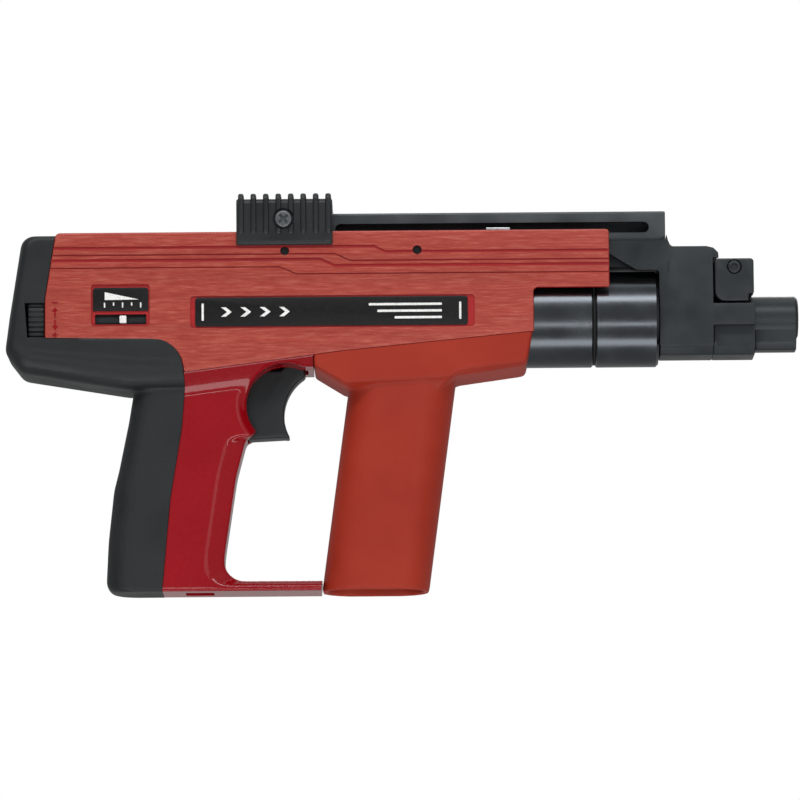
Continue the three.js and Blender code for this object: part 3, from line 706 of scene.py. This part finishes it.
def flare_under_housing(x0, x1, inner, height):
    """A concave flare from a narrow piece out to the housing's sides, along the parting line."""
    steps = 9
    side = []
    for k in range(steps + 1):
        side.append((inner + (HALF - 0.2 - inner) * (k / steps) ** 2.2, height * (k / steps - 1)))
    half_section = [*side, (HALF - 0.2, 6)]
    section = half_section + [(-y, z) for y, z in reversed(half_section)]
    body = prism(section, "x", x0, x1)
    slope = parting_slope(x0, x1)
    start = parting_z(x0) - slope * x0
    body.data.transform(Matrix(((1, 0, 0, 0), (0, 1, 0, 0), (slope, 0, 1, start), (0, 0, 0, 1))))
    return body


def make_handle_frame(material):
    body = stack(frame_side, slope_sizes(15.6, 8.5, 4.2) + [(10, 15.7)])
    flare = flare_under_housing(-110, FRAME_END + 2, 13, 20)
    guard = [*arc(-54.5, 87, 18.6, 235, 66, 16), (-38, 103.8), (-30, 103.8), (-30, 60), (-66, 60)]
    cut(flare, prism(guard, "y", -40, 40))
    body = merge([body, flare])
    blend_shape(body, 0.8, 10)
    cut(body, above_parting())
    behind = rounded([
        (-130, -5), (-112.6, -5), (-108.25, 42.9, 60), (-102.75, 76.2, 40), (-101.15, 95.9, 12), (-103, 125),
        (-130, 125),
    ])
    cut(body, prism(behind, "y", -40, 40))
    cut(body, prism([(FRAME_END, 60), (FRAME_END, 130), (0, 130), (0, 60)], "y", -40, 40))
    cut(body, block(-85, -44, -7.6, 7.6, 71, 130))
    cut(body, block(-100, -90, -5, 5, -10, 130), block(-101.6, -88.4, -6.6, 6.6, -10, 4))
    cut(body, prism([(-38.6, -1), (-37.9, 5.6), (-30, 5.6), (-30, -1)], "y", -40, 40))
    finish_piece(body, "handle", "housing", ["handle_frame"], material, 40)


def oval(half_length, half, radius, steps=12):
    return rounded_box(GRIP_MIDDLE - half_length, -half, GRIP_MIDDLE + half_length, half, radius, steps)


def lean(obj):
    obj.data.transform(Matrix(((1, 0, GRIP_LEAN, 0), (0, 1, 0, 0), (0, 0, 1, 0), (0, 0, 0, 1))))
    return obj


def saddle_side(drop):
    """The front grip's saddle, with its lower edge dropped below the housing's full width."""
    return rounded([
        (FRAME_END + 0.3, 104 - drop * 0.1), (-26.6, 95.4 - drop * 0.2, 1), (22.5 - drop, 98.2 - drop, 4),
        (28 - drop * 0.6, 101.4 - drop * 0.5, 5), (57.8, 104.6 - drop * 0.2, 2.5), (61.1, 122),
        (FRAME_END + 0.3, 122),
    ])


def make_front_grip(material):
    tube = lean(prism(oval(24.9, 19, 16), "z", 0, 108))
    cut(tube, lean(prism(oval(21.9, 16, 13), "z", -5, 92)))
    saddle = stack(saddle_side, [(4.6 * (k / 6) ** 2, HALF - 0.2 - 4.4 * k / 6) for k in range(7)])
    flare = []
    for k in range(1, 13):
        ring = oval(24.7, 18.8 + 5.2 * (k / 12) ** 1.6, 16)
        flare.append(lean(prism(ring, "z", 76 + 24 * k / 12, 108)))
    body = merge([tube, saddle, *flare])
    blend_shape(body, 0.8, 14)
    cut(body, above_parting())
    cut(body, rod("x", (0, AXIS_Z), 16.5, -40, 50, 48), rod("x", (0, AXIS_Z), COLLAR_ROOM, 38, 70, 96))
    cut(body, prism([(-60, 60), (-60, 130), (FRAME_END + 0.3, 130), (FRAME_END + 0.3, 60)], "y", -40, 40))
    finish_piece(body, "foregrip", "housing", ["front_grip"], material, 40)


def make_plates(black, white):
    low, high = span("label_plate")
    plate = prism(rounded_box(low.x, low.z, high.x, high.z, 1.3), "y", low.y, high.y)
    bevel(plate, 0.15, 2)
    finish_piece(plate, "label", "housing", ["label_plate"], black)
    marks = label_marks(low, high)
    finish_piece(merge(marks), "label_marks", "housing", [], white)
    low, high = span("scale_plate")
    scale = prism(rounded([(low.x, low.z), (high.x, low.z), (high.x, high.z, 1.4), (low.x, high.z, 1.4)]),
                  "y", low.y, high.y)
    bevel(scale, 0.12, 2)
    finish_piece(scale, "power_scale", "housing", ["scale_plate"], black)
    finish_piece(merge(scale_marks(low, high)), "power_scale_marks", "housing", [], white)


def mark(outline, front):
    """A printed mark, a hair thick, on a plate whose face is at front."""
    return prism(outline, "y", front - 0.06, front + 0.02)


def label_marks(low, high):
    """A plain rule at each end, three bars and four arrow marks, with no lettering."""
    middle = (low.z + high.z) / 2
    height = high.z - low.z
    marks = []
    for x in (low.x + 3, high.x - 4):
        marks.append(mark(rounded_box(x, middle - height * 0.3, x + 1, middle + height * 0.3, 0.3), low.y))
    for i, width in enumerate((34, 30, 22)):
        z = middle + (1 - i) * 3.1
        marks.append(mark(rounded_box(high.x - 12 - width, z - 0.55, high.x - 12, z + 0.55, 0.4), low.y))
    for i in range(4):
        x = low.x + 12 + 9 * i
        marks.append(mark(rounded([(x, middle - 2.2), (x + 2.2, middle - 2.2), (x + 5, middle),
                                   (x + 2.2, middle + 2.2), (x, middle + 2.2), (x + 2.8, middle)]), low.y))
    return marks


def scale_marks(low, high):
    """A wedge that thins forwards, over five ticks."""
    wedge = [(low.x + 5.5, 135.2), (high.x - 4.4, 135.4), (low.x + 5.5, 138.9)]
    marks = [mark(wedge, low.y)]
    for i in range(5):
        x = low.x + 5.4 + 4.2 * i
        tall = 2.4 if i % 2 == 0 else 1.5
        marks.append(mark(rounded_box(x - 0.3, 134 - tall, x + 0.3, 134, 0.1, 2), low.y))
    return marks


def make_pointer(material):
    low, high = span("power_pointer")
    pointer = prism(rounded_box(low.x, low.z, high.x, high.z, 0.5), "y", low.y, high.y)
    bevel(pointer, 0.3, 3)
    finish_piece(pointer, "pointer", "regulator_sleeve", ["power_pointer"], material)


def make_wheel(material):
    """The power wheel: a rim with straight knurling along its axis, on the regulator's hub."""
    low, high = span("regulator_wheel")
    radius = high.y
    notches, depth = 60, 0.7
    points = []
    for k in range(notches):
        for offset, drop in ((0.0, depth), (0.22, 0.0), (0.68, 0.0), (0.9, depth)):
            a = 2 * math.pi * (k + offset) / notches
            points.append(((radius - drop) * math.cos(a), AXIS_Z + (radius - drop) * math.sin(a)))
    rim_end = -166.5
    rim = prism(points, "x", low.x, rim_end)
    hub = rod("x", (0, AXIS_Z), 16.4, rim_end - 1, high.x, 64)
    join(rim, hub)
    cut(rim, rod("x", (0, AXIS_Z), 14.2, low.x + 4, high.x + 5, 48))
    cut(rim, lathe([(low.x - 1, 20.5), (low.x + 1.2, 20.5), (low.x + 1.2, 8), (low.x - 1, 8)], 64))
    bevel(rim, 0.18, 2, 40)
    finish_piece(rim, "power_wheel_knob", "regulator_wheel", ["regulator_wheel"], material)


def make_power_marks(material):
    """A minus, two arrows and a plus beside the wheel, raised on the housing."""
    x, z, height, width = -161.2, 126.6, 0.45, 0.35

    def raised(points):
        return prism(points, "y", -HALF - height, -HALF + 0.2)

    def bar_mark(half_x, half_z, z0):
        return raised([(x - half_x, z0 - half_z), (x + half_x, z0 - half_z),
                       (x + half_x, z0 + half_z), (x - half_x, z0 + half_z)])
    marks = [bar_mark(1.3, width, z + 7.6), bar_mark(1.3, width, z - 7.6), bar_mark(width, 1.3, z - 7.6)]
    for side in (-1, 1):
        marks.append(bar_mark(width, 1.6, z + side * 2.1))
        marks.append(raised([(x - 1.4, z + side * 3.4), (x + 1.4, z + side * 3.4), (x, z + side * 5.4)]))
    for mark_piece in marks:
        bevel(mark_piece, 0.12, 2)
    finish_piece(merge(marks), "power_marks", "housing", [], material)


# ---- Trigger, knob and rail ----

def make_trigger(material):
    front = arc(-33.8, 83, 21.6, 210, 122, 14)
    boss = arc(*TRIGGER_PIN, 3.4, 0, 162, 8)
    body = prism([(-55.2, 72.4), *front, *boss, (-57, 104), (-80, 104), (-80, 97), (-73.6, 74.4),
                  *arc(-70.6, 74.6, 3, 190, 262, 4)], "y", -7, 7)
    bevel(body, 1.5, 4, 40)
    cut(body, rod("y", TRIGGER_PIN, 2.25, -OUTSIDE, OUTSIDE, 24))
    finish_piece(body, "trigger_lever", "trigger", ["trigger"], material)


RIB_COUNT, RIB_PITCH = 8, 5.8


def make_knob(material):
    """The cocking knob: a saddle over the housing, with ribs across its top and down its sides."""
    half, top, bottom = 27.1, KNOB_HIGH.z - 2.5, KNOB_LOW.z
    core = prism(rounded_box(-half, bottom, half, top, 2.4), "x", KNOB_LOW.x, KNOB_HIGH.x)
    ribs = []
    for i in range(RIB_COUNT):
        x = KNOB_LOW.x + 2.2 + RIB_PITCH * i
        outline = rounded_box(KNOB_LOW.y, bottom + 4.6, KNOB_HIGH.y, KNOB_HIGH.z, 3.0)
        ribs.append(bevel(prism(outline, "x", x - 1.35, x + 1.35), 0.95, 4, 50))
    bevel(core, 0.8, 3, 40)
    join(core, *ribs)
    inner = HALF + 0.5
    cut(core, block(KNOB_LOW.x - 5, KNOB_HIGH.x + 5, -inner, inner, 150, HOUSING_HIGH.z + 0.4))
    play = 0.3
    cut(core, block(RAIL_LOW.x - play, KNOB_HIGH.x + 5, RAIL_LOW.y - play, RAIL_HIGH.y + play,
                    150, RAIL_HIGH.z + play))
    screw_low, screw_high = span("knob_screw_right")
    x, z = (screw_low.x + screw_high.x) / 2, (screw_low.z + screw_high.z) / 2
    seats = both_sides(25.6, 40, lambda low, high: rod("y", (x, z), 5, low, high, 40))
    cut(core, *seats)
    cut(core, rod("y", (x, z), 2.2, -40, 40, 16))
    finish_piece(core, "knob", "barrel", ["cocking_knob"], material)


def cross(x, z, reach, half, turn):
    """The outline of a cross with arms of one reach and half width, turned by degrees."""
    quarter = [Vector((half, half)), Vector((half, reach)), Vector((-half, reach))]
    points = []
    for k in range(4):
        spin = Matrix.Rotation(math.radians(turn + 90 * k), 2)
        points += [Vector((x, z)) + spin @ point for point in quarter]
    return points


def make_knob_screw(side, material):
    """An M4 pan-head screw with a cross recess; side is -1 on the right and 1 on the left."""
    node = "knob_screw_right" if side < 0 else "knob_screw_left"
    low, high = span(node)
    x, z = (low.x + high.x) / 2, (low.z + high.z) / 2
    face = 28.0
    head = bevel(rod("y", (x, z), 4, *sorted((side * 25.9, side * face)), 48), 0.8, 4, 50)
    join(head, rod("y", (x, z), 1.9, *sorted((side * 10.6, side * 26.5)), 20))
    cut(head, prism(cross(x, z, 2.5, 0.65, 40), "y", *sorted((side * 26.4, side * 30))))
    name = "screw_right" if side < 0 else "screw_left"
    finish_piece(head, name, "barrel", [node], material)


def make_rail(material):
    section = rounded_box(RAIL_LOW.y, RAIL_LOW.z, RAIL_HIGH.y, RAIL_HIGH.z, 1.0)
    body = prism(section, "x", RAIL_LOW.x, RAIL_HIGH.x)
    bevel(body, 0.5, 3, 50)
    cut(body, block(RAIL_LOW.x - 5, RAIL_HIGH.x - 3, RAIL_LOW.y + 2, RAIL_HIGH.y - 2, 150, RAIL_HIGH.z - 2))
    cut(body, prism(rounded_box(RAIL_LOW.x + 43.8, 167, RAIL_HIGH.x - 7.6, 172.1, 2.5), "y", -30, 0))
    screw_low, screw_high = span("knob_screw_right")
    cut(body, rod("y", ((screw_low.x + screw_high.x) / 2, 172.4), 2.3, -30, 30, 16))
    finish_piece(body, "rail", "barrel", ["slide_rail"], material)


# ---- Nose ----

def make_bracket(material):
    side = rounded([
        (84, 163), (84, 157.5, 1), (97, 156, 2), (109.5, 148.5, 1.5),
        (119.9, 148.5, 1.5), (119.9, 112.4, 1.2),
        (145, 112.4, 0.8), (145, 122.5, 0.4), (164.4, 122.5, 0.8), (164.4, 132.6, 0.8), (145, 132.6, 0.4),
        (145, 154.1), (147.7, 154.1), (147.5, 156.5, 1), (145.3, 158.7, 2), (142, 159.5, 2),
        (125.4, 159.5, 2), (124.2, 162.4, 2.5), (RAIL_HIGH.x + 0.3, 165.2), (RAIL_HIGH.x + 0.3, 163),
    ])
    body = prism(side, "y", BRACKET_LOW.y, BRACKET_HIGH.y)
    bevel(body, 0.6, 3, 40)
    cut(body, block(80, 170, -15.5, 15.5, 100, 156))
    join(body, block(84, 119.6, -12, 12, 150.7, 158))
    bend = both_sides(17.6, 30, lambda near, far: merge([
        prism([(88, 162.4), (122, 162.4), (122, 162.8), (88, 162.8)], "y", near, far),
        prism([(123.8, 147.4), (124.3, 147.4), (124.3, 152), (123.8, 152)], "y", near, far),
    ]))
    cut(body, *bend)
    finish_piece(body, "bracket", "barrel", ["nose_bracket"], material)


def make_nose_block(material):
    """The block, its chin and its tongue as three closed shells end to end, each with its own holes."""
    low, high = BLOCK_LOW, BLOCK_HIGH

    def section(top, edge):
        return rounded([(-10, low.z, 2), (10, low.z, 2), (15.2, 114.4, 2), (15.2, top, edge),
                        (-15.2, top, edge), (-15.2, 114.4, 2)], 4)
    body = bevel(prism(section(153, 1), "x", low.x, PLATES_END), 0.4, 2, 50)
    cut(body, rod("x", (0, AXIS_Z), 4.6, 110, 130, 32))
    cut(body, rod("x", (0, AXIS_Z), GUIDE_BORE, 125.5, 160, 64))
    chin = bevel(prism(section(132, 0.8), "x", PLATES_END + 0.02, high.x), 0.6, 3, 50)
    cut(chin, rod("x", (0, AXIS_Z), GUIDE_BORE, 140, high.x + 5, 64))
    cut(chin, *both_sides(13.6, 20, lambda near, far: prism(
        rounded_box(146.5, 100, high.x + 5, 122.5, 1), "y", near, far)))
    tongue = bevel(block(PLATES_END + 0.02, 158.8, -5, 5, AXIS_Z + 11.2, 153), 0.4, 2)
    cut(tongue, rod("y", LATCH_PIN, 3.15, -OUTSIDE, OUTSIDE, 24))
    body = merge([body, chin, tongue])
    finish_piece(body, "nose_body", "barrel", ["nose_block"], material)


def make_latch(material):
    low, high = LATCH_LOW, LATCH_HIGH
    side = rounded([
        (low.x, low.z, 5), (161.5, low.z, 0.8), (161.5, low.z + 3.6, 0.8), (high.x, low.z + 3.6, 0.8),
        (high.x, high.z, 1.6), (low.x, high.z, 1.4),
    ])
    body = prism(side, "y", low.y, high.y)
    bevel(body, 0.7, 3, 40)
    cut(body, rod("x", (0, AXIS_Z), 12.4, 130, 180, 64))
    cut(body, block(140, 161, -5.3, 5.3, 120, 160))
    cut(body, rod("y", LATCH_PIN, 3.45, -OUTSIDE, OUTSIDE, 32))
    finish_piece(body, "latch_block", "guide_latch", ["guide_latch"], material)


def make_latch_pin(material):
    low, high = span("latch_pin")
    body = rod("y", LATCH_PIN, 3, low.y, high.y, 32)
    bevel(body, 0.5, 3, 40)
    cut(body, *both_sides(high.y - 0.9, 20, lambda near, far: rod("y", LATCH_PIN, 1.5, near, far, 20)))
    finish_piece(body, "latch_pivot", "barrel", ["latch_pin"], material)


def make_collars(material, seal_material):
    low, high = span("rear_collar")
    radius, inner = high.y, 15.3
    rear = lathe([(low.x, inner), (low.x, radius - 0.5), (low.x + 0.5, radius), (high.x - 0.7, radius),
                  (high.x, radius - 0.7), (high.x, inner)], 96)
    finish_piece(rear, "collar_rear", "barrel", ["rear_collar"], material, 25)
    low, high = span("front_collar")
    front = lathe([(low.x, inner), (low.x, radius - 0.7), (low.x + 0.7, radius), (high.x - 1.2, radius),
                   (high.x, radius - 1.2), (high.x, inner)], 96)
    finish_piece(front, "collar_front", "barrel", ["front_collar"], material, 25)
    low, high = span("collar_seal")
    seal = lathe([(low.x, inner), (low.x, high.y), (high.x, high.y), (high.x, inner)], 96)
    finish_piece(seal, "seal", "barrel", ["collar_seal"], seal_material)


def make_fastener_guide(material):
    low, high = GUIDE_LOW, GUIDE_HIGH
    tube = lathe([
        (low.x, 4.2), (low.x, 10.2), (high.x - 1.8, 10.2), (high.x - 1.2, 10.05), (high.x - 0.5, 9.6),
        (high.x, 8.7), (high.x, 4.9), (high.x - 0.7, 4.2),
    ], 72)
    section = [(-8, AXIS_Z), (-8, low.z + 3.3), (-4.7, low.z), (4.7, low.z), (8, low.z + 3.3), (8, AXIS_Z)]
    keel = prism(section, "x", 164.7, high.x - 1)
    bevel(keel, 0.5, 3, 30)
    cut(keel, rod("x", (0, AXIS_Z), 6, 150, 200, 48))
    join(tube, keel)
    finish_piece(tube, "guide_tube", "barrel", ["fastener_guide"], material)


def make_rail_guide(material):
    """The pale block that the rail's slot slides along, with its foot in the housing."""
    body = block(-66, 57, -9, 9, 152.4, 161)
    lug = block(39.5, 50.7, -9.6, 9.6, 155, 170)
    ears = block(39.5, 50.7, -11.8, 0, 167.4, 170)
    bevel(ears, 0.3, 2)
    join(body, lug, ears)
    for x in CROSS_PIN_XS:
        cut(body, rod("y", (x, CROSS_PIN_Z), 2.2, -OUTSIDE, OUTSIDE, 20))
    bevel(body, 0.25, 2, 60)
    finish_piece(body, "rail_guide_block", "housing", ["rail_guide"], material)


def coil(x0, x1, radius, wire, turns, steps=24, sides=10):
    """A coil spring round the barrel's axis, with closed ends."""
    bm = bmesh.new()
    rings = []
    for k in range(turns * steps + 1):
        turn = 2 * math.pi * k / steps
        x = x0 + wire + (x1 - x0 - 2 * wire) * k / (turns * steps)
        ring = []
        for i in range(sides):
            side = 2 * math.pi * i / sides
            reach = radius + wire * math.cos(side)
            place = (x + wire * math.sin(side), reach * math.cos(turn), AXIS_Z + reach * math.sin(turn))
            ring.append(bm.verts.new(place))
        rings.append(ring)
    for ring, after in zip(rings, rings[1:]):
        for i in range(sides):
            j = (i + 1) % sides
            bm.faces.new((ring[i], ring[j], after[j], after[i]))
    bm.faces.new(rings[0])
    bm.faces.new(rings[-1])
    return new_object(bm)


def make_spring(body, name, node, material):
    """Finishes a spring on the housing with a mesh of its own. A joint presses the spring together along X
    while its rear end stays in place, but none of that is set up here.
    """
    finish_piece(body, name, "housing", [node], material)
    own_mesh(body)


def make_springs(material):
    low, high = span("pressure_spring")
    body = coil(low.x, high.x, 11.8, 1.3, 5)
    make_spring(body, "nose_spring", "pressure_spring", material)
    low, high = span("firing_spring")
    body = coil(low.x, high.x, 7.6, 0.9, 6)
    make_spring(body, "striker_spring", "firing_spring", material)
    low, high = span("trigger_spring")
    side = [
        (low.x, high.z), (low.x, low.z), (-84, low.z), (-84, 84), (high.x, 88.5), (-80, 89), (-84, 85),
        (-84, high.z),
    ]
    leaf = prism(side, "y", low.y, high.y)
    bevel(leaf, 0.12, 2, 30)
    make_spring(leaf, "leaf_spring", "trigger_spring", material)


def dress_inner_parts(materials):
    """Gives each CAD node the material of its slot, and the two cross pins a near-black one, darker than
    their black steel, as painted shade in the holes they sit in.
    """
    by_node = {row["node"]: row["material_slot"] for row in frame["record"]["subparts"]}
    for name, node in frame["nodes"].items():
        for slot in node.material_slots:
            slot.material = materials[by_node[name]]
    # Painted shade: the cross pins in near-black, so that the holes they sit in read dark.
    for name in ("rear_cross_pin", "front_cross_pin"):
        for slot in frame["nodes"][name].material_slots:
            slot.material = materials["label_black"]


def make_pieces():
    red, crimson, orange = housing_red(), frame_crimson(), grip_red()
    plastic, steel, bright = black_plastic(), black_steel(), bright_steel()
    rail_steel = black_steel("rail_steel", (82, 87, 90), (0.3, 0.44), (0.1, 3, 3))
    collar_steel = black_steel("collar_steel", (84, 88, 92), (0.2, 0.28), (3, 0.3, 0.3), 0.95)
    screw_steel = black_steel("screw_steel", (104, 108, 110), (0.3, 0.45))
    knob_plastic = black_plastic("knob_plastic", (30, 34, 36), (0.34, 0.48))
    black, white, rubber = label_black(), white_print(), black_rubber()
    dress_inner_parts({
        "red_housing": red, "red_frame": crimson, "red_grip": orange, "black_plastic": plastic,
        "black_steel": steel, "bright_steel": bright, "label_black": black, "white_mark": white,
        "black_rubber": rubber,
    })
    make_housing(red)
    make_power_marks(crimson)
    make_rear_cover(plastic)
    make_handle_frame(crimson)
    make_front_grip(orange)
    make_plates(black, white)
    make_pointer(white)
    make_wheel(knob_plastic)
    make_trigger(knob_plastic)
    make_knob(knob_plastic)
    make_knob_screw(-1, screw_steel)
    make_knob_screw(1, screw_steel)
    make_rail(rail_steel)
    make_rail_guide(bright)
    make_springs(bright)
    make_bracket(steel)
    make_nose_block(steel)
    make_latch(steel)
    make_latch_pin(steel)
    make_collars(collar_steel, rubber)
    make_fastener_guide(steel)


make_camera()
make_world()
make_lights()
make_floor()
make_pieces()
bpy.context.scene.view_settings.view_transform = "Standard"
